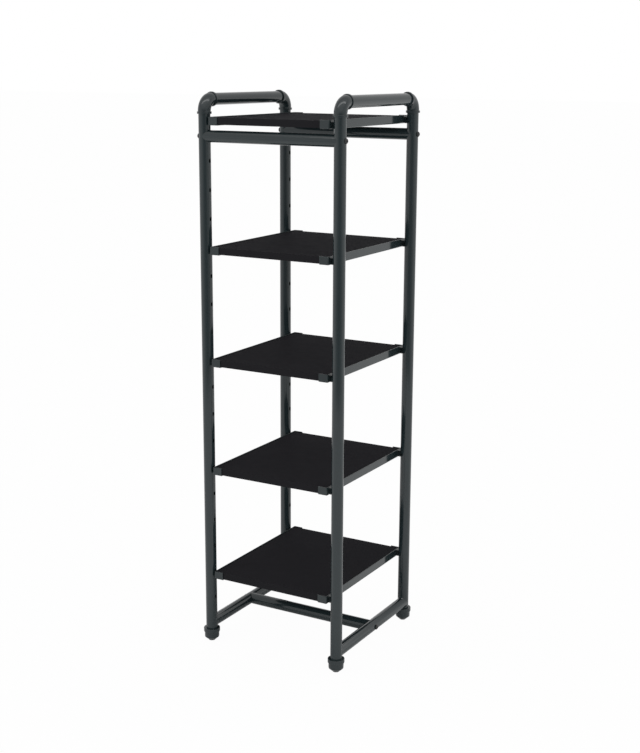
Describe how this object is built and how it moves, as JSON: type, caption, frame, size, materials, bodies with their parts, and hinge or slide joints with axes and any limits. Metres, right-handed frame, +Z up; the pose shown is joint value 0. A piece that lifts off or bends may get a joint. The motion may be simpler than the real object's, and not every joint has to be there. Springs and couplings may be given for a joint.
{
  "type": "retail display etagere",
  "caption": "Tall free-standing display etagere: slotted round-tube posts with pipe elbows and handle bars, hook-on side brackets and black boards.",
  "frame": {"origin": "on the floor, at the centre of the four posts", "axes": "+Z up, +X to the right seen from the front, -Y to the front"},
  "size_m": [0.474, 0.474, 1.6078],
  "materials": {
    "frame_paint": "semi-gloss anthracite powder coat",
    "bolt_paint": "semi-gloss anthracite",
    "board_black": "satin black laminate",
    "glide_black": "matte black",
    "plug_steel": "plain steel, hidden in the rails"
  },
  "bodies": {
    "frame": {"front_left_post": "frame_paint", "front_right_post": "frame_paint", "rear_left_post": "frame_paint", "rear_right_post": "frame_paint", "front_left_elbow": "frame_paint", "front_right_elbow": "frame_paint", "rear_left_elbow": "frame_paint", "rear_right_elbow": "frame_paint", "left_handle_bar": "frame_paint", "right_handle_bar": "frame_paint", "front_top_rail": "frame_paint", "rear_top_rail": "frame_paint", "top_rail_bolts": "bolt_paint", "top_rail_plugs": "plug_steel", "left_bottom_rail": "frame_paint", "right_bottom_rail": "frame_paint", "bottom_stretcher": "frame_paint", "stretcher_bolts": "bolt_paint", "stretcher_plugs": "plug_steel", "front_left_foot": "frame_paint", "front_right_foot": "frame_paint", "rear_left_foot": "frame_paint", "rear_right_foot": "frame_paint", "foot_glides": "glide_black"},
    "shelf_1_brackets": {"shelf_1_left_bracket": "frame_paint", "shelf_1_right_bracket": "frame_paint"},
    "shelf_1_board": {"shelf_1_board": "board_black"},
    "shelf_2_brackets": {"shelf_2_left_bracket": "frame_paint", "shelf_2_right_bracket": "frame_paint"},
    "shelf_2_board": {"shelf_2_board": "board_black"},
    "shelf_3_brackets": {"shelf_3_left_bracket": "frame_paint", "shelf_3_right_bracket": "frame_paint"},
    "shelf_3_board": {"shelf_3_board": "board_black"},
    "shelf_4_brackets": {"shelf_4_left_bracket": "frame_paint", "shelf_4_right_bracket": "frame_paint"},
    "shelf_4_board": {"shelf_4_board": "board_black"},
    "shelf_5_brackets": {"shelf_5_left_bracket": "frame_paint", "shelf_5_right_bracket": "frame_paint"},
    "shelf_5_board": {"shelf_5_board": "board_black"}
  },
  "joints": [
    {"name": "shelf_1_unhook", "type": "slide", "parent": "frame", "child": "shelf_1_brackets", "axis": [0, 0, 1], "range_m": [0, 0.005]},
    {"name": "shelf_1_board_lift", "type": "slide", "parent": "shelf_1_brackets", "child": "shelf_1_board", "axis": [0, 0, 1], "range_m": [0, 0.12]},
    {"name": "shelf_2_unhook", "type": "slide", "parent": "frame", "child": "shelf_2_brackets", "axis": [0, 0, 1], "range_m": [0, 0.005]},
    {"name": "shelf_2_board_lift", "type": "slide", "parent": "shelf_2_brackets", "child": "shelf_2_board", "axis": [0, 0, 1], "range_m": [0, 0.28]},
    {"name": "shelf_3_unhook", "type": "slide", "parent": "frame", "child": "shelf_3_brackets", "axis": [0, 0, 1], "range_m": [0, 0.005]},
    {"name": "shelf_3_board_lift", "type": "slide", "parent": "shelf_3_brackets", "child": "shelf_3_board", "axis": [0, 0, 1], "range_m": [0, 0.28]},
    {"name": "shelf_4_unhook", "type": "slide", "parent": "frame", "child": "shelf_4_brackets", "axis": [0, 0, 1], "range_m": [0, 0.005]},
    {"name": "shelf_4_board_lift", "type": "slide", "parent": "shelf_4_brackets", "child": "shelf_4_board", "axis": [0, 0, 1], "range_m": [0, 0.28]},
    {"name": "shelf_5_unhook", "type": "slide", "parent": "frame", "child": "shelf_5_brackets", "axis": [0, 0, 1], "range_m": [0, 0.005]},
    {"name": "shelf_5_board_lift", "type": "slide", "parent": "shelf_5_brackets", "child": "shelf_5_board", "axis": [0, 0, 1], "range_m": [0, 0.28]}
  ]
}
